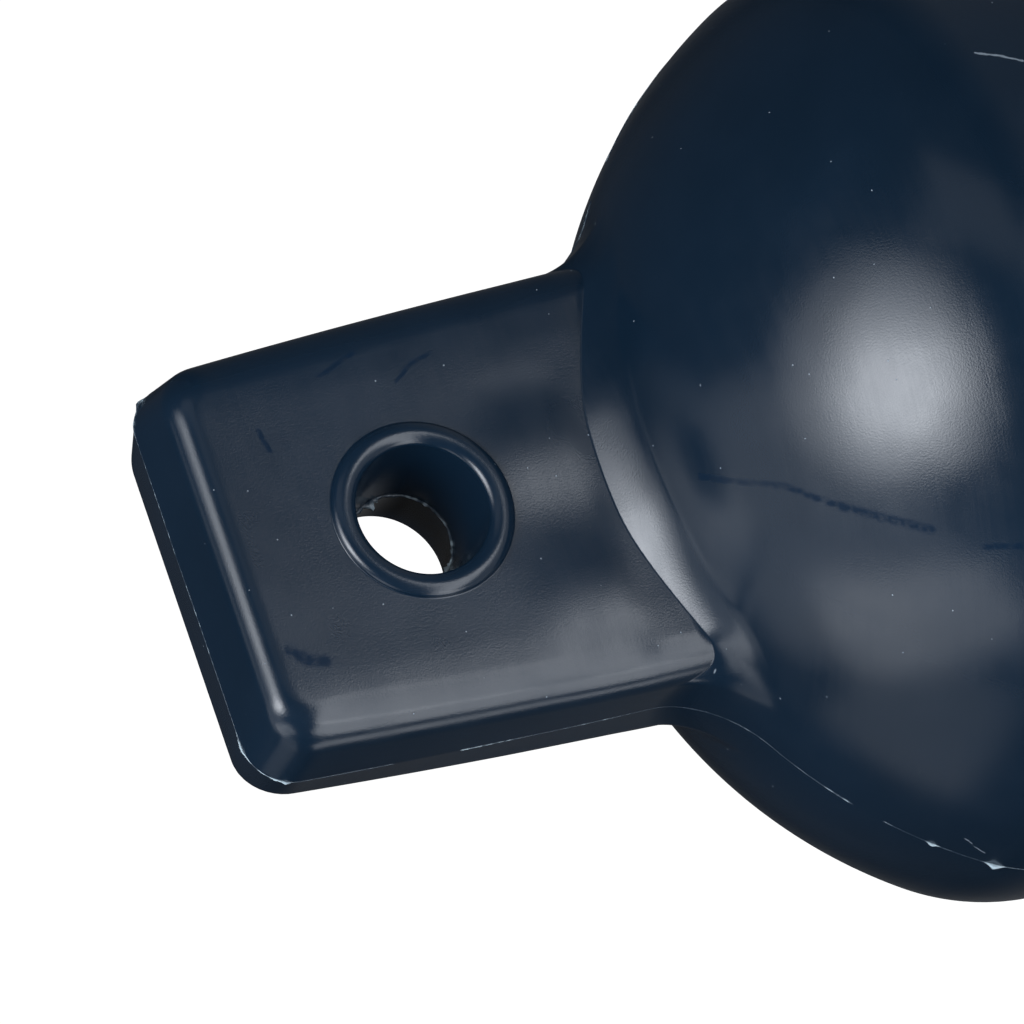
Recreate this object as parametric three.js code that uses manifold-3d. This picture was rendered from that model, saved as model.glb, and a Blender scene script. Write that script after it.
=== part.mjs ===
// A twin-eye inflatable boat fender, hung upright by its upper eye.
// The origin is the centre of the upper eye. Z runs up along the fender,
// X across the flat eye tabs and Y through the eyes.
import * as THREE from 'three';
import { mergeVertices } from 'three/addons/utils/BufferGeometryUtils.js';
import Module from 'manifold-3d';

const wasm = await Module();
wasm.setup();

// Driving sizes, in millimetres and degrees.
const OVERALL_LENGTH = 584;       // from tab end to tab end
const BODY_DIAMETER = 165;
const DOME_DEPTH = 61;            // from the crown's tip to the straight wall
const SHOULDER_RADIUS = 33;       // from the crown's arc to the straight wall
const TAB_LENGTH = 75.2;          // from a tab's end to the crown's tip
const TAB_END_WIDTH = 72.6;       // at the mould seam
const TAB_ROOT_WIDTH = 76.4;
const TAB_THICKNESS = 30.8;
const TAB_END_DRAFT = 8.5;        // lean of the tab's walls away from the seam
const TAB_ROOT_DRAFT = 0;
const TAB_CORNER_RADIUS = 8;
const TAB_EDGE_RADIUS = 6.5;      // between a tab's faces and its sides
const TAB_END_EDGE_RADIUS = 4;    // between a tab's faces and its end
const ROOT_FILLET_MIDDLE = 11.2;  // where the middle of a tab's face runs into the dome
const ROOT_FILLET_SIDE = 8.8;     // the same at the face's two sides
const ROOT_FILLET_AT_SEAM = 11;   // where a tab's side runs into the dome
const ROOT_NARROWS_FROM = 7.6;    // from the fender's middle, where the fillet begins to narrow
const ROOT_RAMP_POWER = 1.4;      // in the face's middle, where the fillet is more of a ramp
const ROOT_ROUND_POWER = 2;       // elsewhere, a round fillet
const ROOT_SINK_MIDDLE = 3.6;     // how far under a tab's face that fillet's curve starts
const ROOT_SINK_SIDE = 2.3;
const ROOT_SINKS_FROM = 9.2;      // from the seam, where the curve begins to lie deeper
const EYE_INSET = 38.6;           // from an eye's centre to the tab's end
const EYE_THROAT_DIAMETER = 18.2; // narrowest, at the mould seam
const EYE_TAPER = 9.2;            // lean of an eye's wall, from the seam to either face
const LIP_WIDTH = 4.3;            // foot of the raised lip round an eye
const LIP_HEIGHT = 1.4;
const VALVE_DIAMETER = 12;
const VALVE_DEPTH = 6;
const VALVE_ANGLE = 34;           // from the fender's axis, seen from the crown's centre
const VALVE_CHAMFER = 0.8;
const VALVE_CLEARANCE = 0.3;
const NEEDLE_HOLE_DIAMETER = 2;
const NEEDLE_HOLE_DEPTH = 4;

// How finely the surfaces are divided.
const SKIN_SEGMENTS = 48;
const EYE_SEGMENTS = 32;
const VALVE_SEGMENTS = 24;
const CAP_STEPS = 8;
const ROOT_STEPS = 6;
const CROWN_STEPS = 12;
const SHOULDER_STEPS = 4;
const LIP_STEPS = 6;
const HALVINGS = 60;              // of the span in which a line leaves the solid
const EDGE_CROWDING = 0.1;        // how strongly points are drawn toward a tab's edges
const CROWN_CROWDING = 1.2;       // how strongly rings are drawn toward the crown's tip
const MERGE_WITHIN = 1e-4;        // points closer than this are one point
const BEGUN_WITHIN = 1e-6;        // how deep under a tab's skin the root's fillet counts as begun

const bodyRadius = BODY_DIAMETER / 2;
const halfThickness = TAB_THICKNESS / 2;
const eyeSpacing = OVERALL_LENGTH - 2 * EYE_INSET;

// Places along the fender are measured inward from the nearer eye's centre.
const crownTip = TAB_LENGTH - EYE_INSET;
const wallStart = crownTip + DOME_DEPTH;

// The crown's arc meets the shoulder's arc without a kink.
const shoulderOffset = bodyRadius - SHOULDER_RADIUS;
const crownRadius =
  (DOME_DEPTH ** 2 + shoulderOffset ** 2 - SHOULDER_RADIUS ** 2) /
  (2 * (DOME_DEPTH - SHOULDER_RADIUS));
const crownCentre = crownTip + crownRadius;
const shoulderAngle = Math.atan2(shoulderOffset, crownCentre - wallStart);

// Distances below are negative inside the solid and positive outside it.

// Two faces that meet in an outer corner, rounded with a radius.
function roundedCorner(a, b, radius) {
  const overA = Math.max(a + radius, 0);
  const overB = Math.max(b + radius, 0);
  return Math.min(Math.max(a, b), -radius) + Math.hypot(overA, overB);
}

// Two forms that run into each other, with the inner corner filled out. A power
// of 2 fills it with a round fillet, and a lower one with a flatter ramp.
function filledJoint(a, b, fillet, power) {
  const underA = Math.max(fillet - a, 0) ** power;
  const underB = Math.max(fillet - b, 0) ** power;
  return Math.max(Math.min(a, b), fillet) - (underA + underB) ** (1 / power);
}

function bodyDistance(inward, radial) {
  if (inward >= wallStart) {
    return radial - bodyRadius;
  }
  const beforeCentre = crownCentre - inward;
  if (Math.atan2(radial, beforeCentre) < shoulderAngle) {
    return Math.hypot(beforeCentre, radial) - crownRadius;
  }
  return Math.hypot(wallStart - inward, radial - shoulderOffset) - SHOULDER_RADIUS;
}

// The tab widens and its side walls straighten toward the dome, soon after its end.
function tabDistance(inward, across, through) {
  const along = THREE.MathUtils.clamp((inward + EYE_INSET) / TAB_LENGTH, 0, 1);
  const widened = 1 - (1 - along) ** 2;
  const halfWidth = THREE.MathUtils.lerp(TAB_END_WIDTH, TAB_ROOT_WIDTH, widened) / 2;
  const sideDraft = THREE.MathUtils.degToRad(
    THREE.MathUtils.lerp(TAB_END_DRAFT, TAB_ROOT_DRAFT, along),
  );
  const endDraft = THREE.MathUtils.degToRad(TAB_END_DRAFT);
  const fromSeam = Math.abs(through);
  const side = (Math.abs(across) - halfWidth) * Math.cos(sideDraft) + fromSeam * Math.sin(sideDraft);
  const end = (-inward - EYE_INSET) * Math.cos(endDraft) + fromSeam * Math.sin(endDraft);
  const face = Math.abs(through) - halfThickness;
  const wall = roundedCorner(side, end, TAB_CORNER_RADIUS);
  const atEnd = THREE.MathUtils.smoothstep(end - side, -TAB_CORNER_RADIUS, TAB_CORNER_RADIUS);
  const edge = THREE.MathUtils.lerp(TAB_EDGE_RADIUS, TAB_END_EDGE_RADIUS, atEnd);
  return roundedCorner(wall, face, edge);
}

// The dome with the hollow fillet round the tab's root. On a tab's faces the
// fillet's curve starts under the face, so the two meet in a crease.
function rootDistance(inward, across, through) {
  const fromSeam = Math.abs(through);
  const towardFace = THREE.MathUtils.smoothstep(fromSeam, 0, halfThickness);
  const towardSide = THREE.MathUtils.smoothstep(
    Math.abs(across),
    ROOT_NARROWS_FROM,
    TAB_ROOT_WIDTH / 2,
  );
  const atFace = THREE.MathUtils.lerp(ROOT_FILLET_MIDDLE, ROOT_FILLET_SIDE, towardSide);
  const fillet = THREE.MathUtils.lerp(ROOT_FILLET_AT_SEAM, atFace, towardFace);
  const power = THREE.MathUtils.lerp(
    ROOT_ROUND_POWER,
    ROOT_RAMP_POWER,
    towardFace * (1 - towardSide),
  );
  const sink =
    THREE.MathUtils.lerp(ROOT_SINK_MIDDLE, ROOT_SINK_SIDE, towardSide) *
    THREE.MathUtils.smoothstep(fromSeam, ROOT_SINKS_FROM, halfThickness);
  const body = bodyDistance(inward, Math.hypot(across, through));
  return filledJoint(tabDistance(inward, across, through) + sink, body, fillet, power);
}

function skinDistance(inward, across, through) {
  return Math.min(tabDistance(inward, across, through), rootDistance(inward, across, through));
}

// How far a line from the fender's axis runs before it leaves a form.
function reachAlong(distance, inward, direction) {
  let inside = 0;
  let outside = OVERALL_LENGTH + BODY_DIAMETER;
  for (let halving = 0; halving < HALVINGS; halving += 1) {
    const reach = (inside + outside) / 2;
    const beyond = distance(
      inward + reach * direction.x,
      reach * direction.y,
      reach * direction.z,
    );
    if (beyond < 0) {
      inside = reach;
    } else {
      outside = reach;
    }
  }
  return (inside + outside) / 2;
}

// Draws equal angles together around 45 degrees, where a tab's edges are.
function towardEdges(angle) {
  return angle + EDGE_CROWDING * Math.sin(4 * angle);
}

// The angle round the axis at which a turn's line runs along the tab.
function tabTurn(turn) {
  const edgeTurn = towardEdges(turn);
  const angle = Math.atan2(
    halfThickness * Math.sin(edgeTurn),
    (TAB_END_WIDTH / 2) * Math.cos(edgeTurn),
  );
  return angle + 2 * Math.PI * Math.round((turn - angle) / (2 * Math.PI));
}

// Where the root's fillet starts on a turn's line along the tab.
function rootStartOn(turn) {
  const direction = new THREE.Vector3(0, Math.cos(tabTurn(turn)), Math.sin(tabTurn(turn)));
  let before = 0;
  let after = crownTip + ROOT_FILLET_MIDDLE;
  for (let halving = 0; halving < HALVINGS; halving += 1) {
    const inward = (before + after) / 2;
    const reach = reachAlong(tabDistance, inward, direction);
    const depth = -rootDistance(inward, reach * direction.y, reach * direction.z);
    if (depth > BEGUN_WITHIN) {
      after = inward;
    } else {
      before = inward;
    }
  }
  return before;
}

function turnOf(segment) {
  return ((segment % SKIN_SEGMENTS) / SKIN_SEGMENTS) * 2 * Math.PI;
}

// The rings that carry one end's skin, from the tab's end to the straight wall.
// Each has its place on the axis, the tilt of its lines away from the end, and
// how far it follows the line on which the root's fillet starts.
const capCentre = halfThickness - EYE_INSET;
const rootStarts = Array.from({ length: SKIN_SEGMENTS }, (_, i) => rootStartOn(turnOf(i)));
const rootStart = Math.min(...rootStarts);
const crownStart = Math.atan2(halfThickness + ROOT_FILLET_MIDDLE / 2, crownRadius);
const crownFirst = crownCentre - crownRadius * Math.cos(crownStart);

function endRings() {
  const rings = [];
  const square = Math.PI / 2;
  for (let i = 0; i <= CAP_STEPS; i += 1) {
    rings.push({ inward: capCentre, tilt: towardEdges((i / CAP_STEPS) * square), follow: 0 });
  }
  rings.push({ inward: (capCentre + rootStart) / 2, tilt: square, follow: 0 });
  for (let i = 0; i < ROOT_STEPS; i += 1) {
    const inward = THREE.MathUtils.lerp(rootStart, crownFirst, i / ROOT_STEPS);
    rings.push({ inward, tilt: square, follow: 1 });
  }
  for (let i = 0; i < CROWN_STEPS; i += 1) {
    const angle = THREE.MathUtils.lerp(crownStart, shoulderAngle, (i / CROWN_STEPS) ** CROWN_CROWDING);
    const inward = crownCentre - crownRadius * Math.cos(angle);
    const follow = 1 - THREE.MathUtils.smoothstep(inward, crownFirst, wallStart);
    rings.push({ inward, tilt: square, follow });
  }
  for (let i = 0; i <= SHOULDER_STEPS; i += 1) {
    const angle = THREE.MathUtils.lerp(shoulderAngle, square, i / SHOULDER_STEPS);
    const inward = wallStart - SHOULDER_RADIUS * Math.cos(angle);
    const follow = 1 - THREE.MathUtils.smoothstep(inward, crownFirst, wallStart);
    rings.push({ inward, tilt: square, follow });
  }
  return rings;
}

// A point of the skin, on ring and segment, for the upper end (side 1) or the lower (side -1).
function skinPoint(ring, segment, side) {
  const turn = turnOf(segment);
  const edgeTurn = towardEdges(turn);
  const start = ring.inward + ring.follow * (rootStarts[segment % SKIN_SEGMENTS] - rootStart);
  const spread = THREE.MathUtils.smoothstep(start, crownTip, wallStart);
  const around = THREE.MathUtils.lerp(tabTurn(turn), turn, spread);
  const sideways = Math.sin(ring.tilt) * Math.hypot(
    (TAB_END_WIDTH / 2) * Math.cos(edgeTurn),
    halfThickness * Math.sin(edgeTurn),
  );
  const direction = new THREE.Vector3(
    -halfThickness * Math.cos(ring.tilt),
    sideways * Math.cos(around),
    sideways * Math.sin(around),
  ).normalize();
  const reach = reachAlong(skinDistance, start, direction);
  const inward = start + reach * direction.x;
  const z = side > 0 ? -inward : inward - eyeSpacing;
  return new THREE.Vector3(reach * direction.y, reach * direction.z, z);
}

// The outer skin: a lathe whose points are moved out to the fender's surface.
function skinGeometry() {
  const lower = endRings().map((ring) => ({ ...ring, side: -1 }));
  const upper = endRings().map((ring) => ({ ...ring, side: 1 })).reverse();
  const rings = [...lower, ...upper];
  const last = rings.length - 1;
  const profile = rings.map((ring, row) => {
    const onAxis = row === 0 || row === last;
    return new THREE.Vector2(onAxis ? 0 : bodyRadius, row);
  });
  const geometry = new THREE.LatheGeometry(profile, SKIN_SEGMENTS);
  const position = geometry.attributes.position;
  for (let segment = 0; segment <= SKIN_SEGMENTS; segment += 1) {
    rings.forEach((ring, row) => {
      const point = skinPoint(ring, segment, ring.side);
      position.setXYZ(segment * rings.length + row, point.x, point.y, point.z);
    });
  }
  return geometry;
}

const eyeThroat = EYE_THROAT_DIAMETER / 2;
const eyeMouth = eyeThroat + halfThickness * Math.tan(THREE.MathUtils.degToRad(EYE_TAPER));
const lipCrest = eyeMouth + LIP_WIDTH / 2;

// The wall round an eye, from its throat to both lips, as a closed lathe profile.
function eyeWallGeometry() {
  const upperHalf = [];
  for (let i = 0; i <= LIP_STEPS; i += 1) {
    const angle = (i / LIP_STEPS) * Math.PI;
    const radius = lipCrest - (LIP_WIDTH / 2) * Math.cos(angle);
    upperHalf.push(new THREE.Vector2(radius, halfThickness + LIP_HEIGHT * Math.sin(angle)));
  }
  const lowerHalf = upperHalf.map((point) => new THREE.Vector2(point.x, -point.y)).reverse();
  const throat = new THREE.Vector2(eyeThroat, 0);
  const profile = [throat, ...upperHalf, ...lowerHalf, throat].reverse();
  return new THREE.LatheGeometry(profile, EYE_SEGMENTS);
}

function eyeCutGeometry() {
  return new THREE.CylinderGeometry(lipCrest, lipCrest, 2 * TAB_THICKNESS, EYE_SEGMENTS);
}

// Where the valve sits: on the lower dome, in front. Its own Y axis points out of the dome.
const valveTurn = THREE.MathUtils.degToRad(VALVE_ANGLE);
const valveAxis = new THREE.Vector3(0, -Math.sin(valveTurn), -Math.cos(valveTurn));
const valveSeat = new THREE.Vector3(0, 0, crownCentre - eyeSpacing)
  .addScaledVector(valveAxis, crownRadius);
const valveRotation = new THREE.Quaternion()
  .setFromUnitVectors(new THREE.Vector3(0, 1, 0), valveAxis);

function valveSocketGeometry() {
  const radius = VALVE_DIAMETER / 2 + VALVE_CLEARANCE;
  const floor = -VALVE_DEPTH - VALVE_CLEARANCE;
  const rim = VALVE_DEPTH;
  const profile = [
    new THREE.Vector2(0, floor),
    new THREE.Vector2(radius, floor),
    new THREE.Vector2(radius, rim),
    new THREE.Vector2(0, rim),
  ];
  return new THREE.LatheGeometry(profile, VALVE_SEGMENTS);
}

// The valve's plug, level with the dome, with a blind hole for the inflating needle.
function valveGeometry() {
  const radius = VALVE_DIAMETER / 2;
  const needle = NEEDLE_HOLE_DIAMETER / 2;
  const profile = [
    new THREE.Vector2(0, -VALVE_DEPTH),
    new THREE.Vector2(radius, -VALVE_DEPTH),
    new THREE.Vector2(radius, -VALVE_CHAMFER),
    new THREE.Vector2(radius - VALVE_CHAMFER, 0),
    new THREE.Vector2(2 * needle, 0),
    new THREE.Vector2(needle, -needle),
    new THREE.Vector2(needle, -NEEDLE_HOLE_DEPTH),
    new THREE.Vector2(0, -NEEDLE_HOLE_DEPTH),
  ];
  return new THREE.LatheGeometry(profile, VALVE_SEGMENTS);
}

// A closed geometry with only places left, its shared points merged.
function merged(geometry) {
  const bare = geometry.clone();
  bare.deleteAttribute('normal');
  bare.deleteAttribute('uv');
  const joined = mergeVertices(bare, MERGE_WITHIN);
  const index = joined.index.array;
  const kept = [];
  for (let i = 0; i < index.length; i += 3) {
    const [a, b, c] = [index[i], index[i + 1], index[i + 2]];
    if (a !== b && b !== c && c !== a) {
      kept.push(a, b, c);
    }
  }
  joined.setIndex(kept);
  return joined;
}

function toSolid(geometry) {
  const joined = merged(geometry);
  return new wasm.Manifold(new wasm.Mesh({
    numProp: 3,
    vertProperties: new Float32Array(joined.attributes.position.array),
    triVerts: new Uint32Array(joined.index.array),
  }));
}

function toGeometry(solid) {
  const mesh = solid.getMesh();
  const geometry = new THREE.BufferGeometry();
  geometry.setAttribute('position', new THREE.BufferAttribute(mesh.vertProperties, 3));
  geometry.setIndex(new THREE.BufferAttribute(mesh.triVerts, 1));
  geometry.computeVertexNormals();
  return geometry;
}

function fenderBodyGeometry() {
  let solid = toSolid(skinGeometry());
  for (const height of [0, -eyeSpacing]) {
    solid = solid.subtract(toSolid(eyeCutGeometry().translate(0, 0, height)));
    solid = solid.add(toSolid(eyeWallGeometry().translate(0, 0, height)));
  }
  const socket = valveSocketGeometry()
    .applyQuaternion(valveRotation)
    .translate(valveSeat.x, valveSeat.y, valveSeat.z);
  return toGeometry(solid.subtract(toSolid(socket)));
}

function fenderBody() {
  const vinyl = new THREE.MeshStandardMaterial({ color: 0x22344a, roughness: 0.32, metalness: 0 });
  const mesh = new THREE.Mesh(fenderBodyGeometry(), vinyl);
  mesh.name = 'fender_body';
  return mesh;
}

function inflationValve() {
  const rubber = new THREE.MeshStandardMaterial({ color: 0x1b1c1e, roughness: 0.6, metalness: 0 });
  const mesh = new THREE.Mesh(merged(valveGeometry()), rubber);
  mesh.name = 'inflation_valve';
  mesh.quaternion.copy(valveRotation);
  mesh.position.copy(valveSeat);
  return mesh;
}

const fender = new THREE.Group();
fender.add(fenderBody());
fender.add(inflationValve());

export default fender;
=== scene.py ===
import math

import bmesh
import bpy
import numpy as np
from mathutils import Matrix, Vector


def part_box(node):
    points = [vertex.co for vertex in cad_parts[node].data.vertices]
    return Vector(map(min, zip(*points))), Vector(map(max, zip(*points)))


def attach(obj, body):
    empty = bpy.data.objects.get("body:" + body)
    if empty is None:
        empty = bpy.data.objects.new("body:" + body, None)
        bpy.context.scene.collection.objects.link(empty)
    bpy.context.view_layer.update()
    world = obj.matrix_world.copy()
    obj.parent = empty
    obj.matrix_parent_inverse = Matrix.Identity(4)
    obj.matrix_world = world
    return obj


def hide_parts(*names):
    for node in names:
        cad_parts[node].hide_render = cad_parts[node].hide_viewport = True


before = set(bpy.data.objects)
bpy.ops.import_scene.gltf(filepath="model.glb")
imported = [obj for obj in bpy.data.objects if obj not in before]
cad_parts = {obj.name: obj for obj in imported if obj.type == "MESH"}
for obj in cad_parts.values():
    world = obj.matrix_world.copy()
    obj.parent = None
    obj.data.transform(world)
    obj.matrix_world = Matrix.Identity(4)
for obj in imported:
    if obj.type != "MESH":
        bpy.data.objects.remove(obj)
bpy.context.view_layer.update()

# The fender's sizes.
BODY_LOW, BODY_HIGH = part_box("fender_body")
OVERALL_LENGTH = BODY_HIGH.z - BODY_LOW.z
BODY_RADIUS = (BODY_HIGH.x - BODY_LOW.x) / 2
DOME_DEPTH = 0.061
SHOULDER_RADIUS = 0.033
TAB_LENGTH = 0.0752
TAB_END_WIDTH = 0.0726
TAB_ROOT_WIDTH = 0.0764
HALF_THICKNESS = 0.0154
TAB_END_DRAFT = math.radians(8.5)
TAB_ROOT_DRAFT = 0.0
TAB_CORNER_RADIUS = 0.008
TAB_EDGE_RADIUS = 0.0065
TAB_END_EDGE_RADIUS = 0.004
ROOT_FILLET_MIDDLE = 0.0112
ROOT_FILLET_SIDE = 0.0088
ROOT_FILLET_AT_SEAM = 0.011
ROOT_RAMP_POWER = 1.4
ROOT_ROUND_POWER = 2
ROOT_NARROWS_FROM = 0.0076
ROOT_SINK_MIDDLE = 0.0036
ROOT_SINK_SIDE = 0.0023
ROOT_SINKS_FROM = 0.0092
EYE_INSET = BODY_HIGH.z
EYE_THROAT = 0.0091
EYE_TAPER = math.radians(9.2)
LIP_WIDTH = 0.0043
LIP_HEIGHT = 0.0014
VALVE_RADIUS = 0.006
VALVE_DEPTH = 0.006
VALVE_ANGLE = math.radians(34)
VALVE_CLEARANCE = 0.0003
VALVE_SEGMENTS = 96
SOCKET_RIM = 0.0075
SOCKET_FLOOR = -VALVE_DEPTH - VALVE_CLEARANCE
NEEDLE_RADIUS = 0.001
NEEDLE_DEPTH = 0.004

# The photograph's view: its size in pixels and the camera's place about the picture's middle.
PHOTO_SIZE = 1024
FOCAL_PIXELS = 12808.8
SENSOR_WIDTH = 36.0
VIEW_AZIMUTH = math.radians(-18.411)
VIEW_ELEVATION = math.radians(20.286)
VIEW_ROLL = math.radians(-102.723)
VIEW_DISTANCE = 2.155
VIEW_MIDDLE = Vector((-0.00104, -0.00707, -0.01825))
CLIP_START = 0.1
CLIP_END = 100

EYE_SPACING = OVERALL_LENGTH - 2 * EYE_INSET
CROWN_TIP = TAB_LENGTH - EYE_INSET
WALL_START = CROWN_TIP + DOME_DEPTH
SHOULDER_OFFSET = BODY_RADIUS - SHOULDER_RADIUS
CROWN_RADIUS = (DOME_DEPTH**2 + SHOULDER_OFFSET**2 - SHOULDER_RADIUS**2) / (
    2 * (DOME_DEPTH - SHOULDER_RADIUS)
)
CROWN_CENTRE = CROWN_TIP + CROWN_RADIUS
SHOULDER_ANGLE = math.atan2(SHOULDER_OFFSET, CROWN_CENTRE - WALL_START)
EYE_MOUTH = EYE_THROAT + HALF_THICKNESS * math.tan(EYE_TAPER)
LIP_CREST = EYE_MOUTH + LIP_WIDTH / 2
LIP_FOOT = EYE_MOUTH + LIP_WIDTH


# Camera

def view_axes():
    """The picture's right, up and toward-the-camera directions."""
    back = Vector((
        math.sin(VIEW_AZIMUTH) * math.cos(VIEW_ELEVATION),
        -math.cos(VIEW_AZIMUTH) * math.cos(VIEW_ELEVATION),
        math.sin(VIEW_ELEVATION),
    ))
    level = Vector((math.cos(VIEW_AZIMUTH), math.sin(VIEW_AZIMUTH), 0))
    rise = back.cross(level)
    right = level * math.cos(VIEW_ROLL) + rise * math.sin(VIEW_ROLL)
    return right, back.cross(right), back


RIGHT, UP, BACK = view_axes()


def make_camera():
    camera = bpy.data.objects.new("camera", bpy.data.cameras.new("camera"))
    bpy.context.collection.objects.link(camera)
    camera.data.sensor_width = SENSOR_WIDTH
    camera.data.lens = FOCAL_PIXELS / PHOTO_SIZE * SENSOR_WIDTH
    camera.data.clip_start = CLIP_START
    camera.data.clip_end = CLIP_END
    turn = Matrix((RIGHT, UP, BACK)).transposed()
    place = VIEW_MIDDLE + BACK * VIEW_DISTANCE
    camera.matrix_world = Matrix.Translation(place) @ turn.to_4x4()
    bpy.context.scene.camera = camera


# The skin's form, as distances that are negative inside the solid

def rounded_corner(a, b, radius):
    over = np.hypot(np.maximum(a + radius, 0), np.maximum(b + radius, 0))
    return np.minimum(np.maximum(a, b), -radius) + over


def filled_joint(a, b, fillet, power):
    under_a = np.maximum(fillet - a, 0) ** power
    under_b = np.maximum(fillet - b, 0) ** power
    return np.maximum(np.minimum(a, b), fillet) - (under_a + under_b) ** (1 / power)


def smooth_share(value, start, end):
    share = np.clip((value - start) / (end - start), 0, 1)
    return share * share * (3 - 2 * share)


def body_distance(inward, radial):
    before = CROWN_CENTRE - inward
    crown = np.hypot(before, radial) - CROWN_RADIUS
    shoulder = np.hypot(WALL_START - inward, radial - SHOULDER_OFFSET) - SHOULDER_RADIUS
    cap = np.where(np.arctan2(radial, before) < SHOULDER_ANGLE, crown, shoulder)
    return np.where(inward >= WALL_START, radial - BODY_RADIUS, cap)


def tab_distance(inward, across, through):
    along = np.clip((inward + EYE_INSET) / TAB_LENGTH, 0, 1)
    widened = 1 - (1 - along) ** 2
    half_width = (TAB_END_WIDTH + (TAB_ROOT_WIDTH - TAB_END_WIDTH) * widened) / 2
    draft = TAB_END_DRAFT + (TAB_ROOT_DRAFT - TAB_END_DRAFT) * along
    from_seam = np.abs(through)
    side = (np.abs(across) - half_width) * np.cos(draft) + from_seam * np.sin(draft)
    end = -(inward + EYE_INSET) * math.cos(TAB_END_DRAFT) + from_seam * math.sin(TAB_END_DRAFT)
    wall = rounded_corner(side, end, TAB_CORNER_RADIUS)
    at_end = smooth_share(end - side, -TAB_CORNER_RADIUS, TAB_CORNER_RADIUS)
    edge = TAB_EDGE_RADIUS + (TAB_END_EDGE_RADIUS - TAB_EDGE_RADIUS) * at_end
    return rounded_corner(wall, from_seam - HALF_THICKNESS, edge)


def root_distance(inward, across, through):
    """The dome and the hollow fillet round the tab's root, which starts under the tab's faces."""
    from_seam = np.abs(through)
    toward_face = smooth_share(from_seam, 0, HALF_THICKNESS)
    toward_side = smooth_share(np.abs(across), ROOT_NARROWS_FROM, TAB_ROOT_WIDTH / 2)
    at_face = ROOT_FILLET_MIDDLE + (ROOT_FILLET_SIDE - ROOT_FILLET_MIDDLE) * toward_side
    fillet = ROOT_FILLET_AT_SEAM + (at_face - ROOT_FILLET_AT_SEAM) * toward_face
    full_sink = ROOT_SINK_MIDDLE + (ROOT_SINK_SIDE - ROOT_SINK_MIDDLE) * toward_side
    sink = full_sink * smooth_share(from_seam, ROOT_SINKS_FROM, HALF_THICKNESS)
    flatter = toward_face * (1 - toward_side)
    power = ROOT_ROUND_POWER + (ROOT_RAMP_POWER - ROOT_ROUND_POWER) * flatter
    body = body_distance(inward, np.hypot(across, through))
    return filled_joint(tab_distance(inward, across, through) + sink, body, fillet, power)


def skin_distance(inward, across, through):
    tab = tab_distance(inward, across, through)
    return np.minimum(tab, root_distance(inward, across, through))


# The skin as rings of points

SEGMENTS = 256
HALVINGS = 34

# How strongly the points crowd at the tab's edges and the rings at the dome's crown.
EDGE_CROWDING = 0.1
CROWN_CROWDING = 1.2

# The distance at which the root's fillet counts as begun, and how far before it the tab's last
# flat ring lies and the rings follow its line in full.
ROOT_BEGINS_AT = -1e-8
BEFORE_ROOT = 0.0002
FOLLOW_BEFORE_ROOT = 0.0003

# How many rings cross a tab's end, its flats, its root, the crown and the shoulder.
SHOWN_END_RINGS = (36, 44, 26, 62, 20)
OTHER_END_RINGS = (20, 24, 14, 38, 10)
WALL_RINGS = 16


def toward_edges(angle):
    """Moves evenly spaced angles closer together at the tab's edges."""
    return angle + EDGE_CROWDING * np.sin(4 * angle)


def reaches(distance, start, direction):
    """How far along these lines the solid goes on."""
    inside = np.zeros(np.broadcast_shapes(start.shape, direction[0].shape))
    outside = np.full_like(inside, OVERALL_LENGTH)
    for _ in range(HALVINGS):
        reach = (inside + outside) / 2
        solid = distance(start + reach * direction[0], *(reach * direction[1:])) < 0
        inside = np.where(solid, reach, inside)
        outside = np.where(solid, outside, reach)
    return inside


def tab_directions(turns):
    edge_turns = toward_edges(turns)
    wide = TAB_END_WIDTH / 2 * np.cos(edge_turns)
    deep = HALF_THICKNESS * np.sin(edge_turns)
    return np.unwrap(np.arctan2(deep, wide)), np.hypot(wide, deep)


def root_starts(turns):
    """Where the root's fillet starts on each line along the tab."""
    around = tab_directions(turns)[0]
    straight_out = np.stack([np.zeros_like(around), np.cos(around), np.sin(around)])
    before = np.zeros_like(around)
    after = np.full_like(around, CROWN_TIP + ROOT_FILLET_MIDDLE)
    for _ in range(HALVINGS):
        inward = (before + after) / 2
        reach = reaches(tab_distance, inward, straight_out)
        begun = root_distance(inward, *(reach * straight_out[1:])) < ROOT_BEGINS_AT
        before = np.where(begun, before, inward)
        after = np.where(begun, inward, after)
    return before


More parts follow.
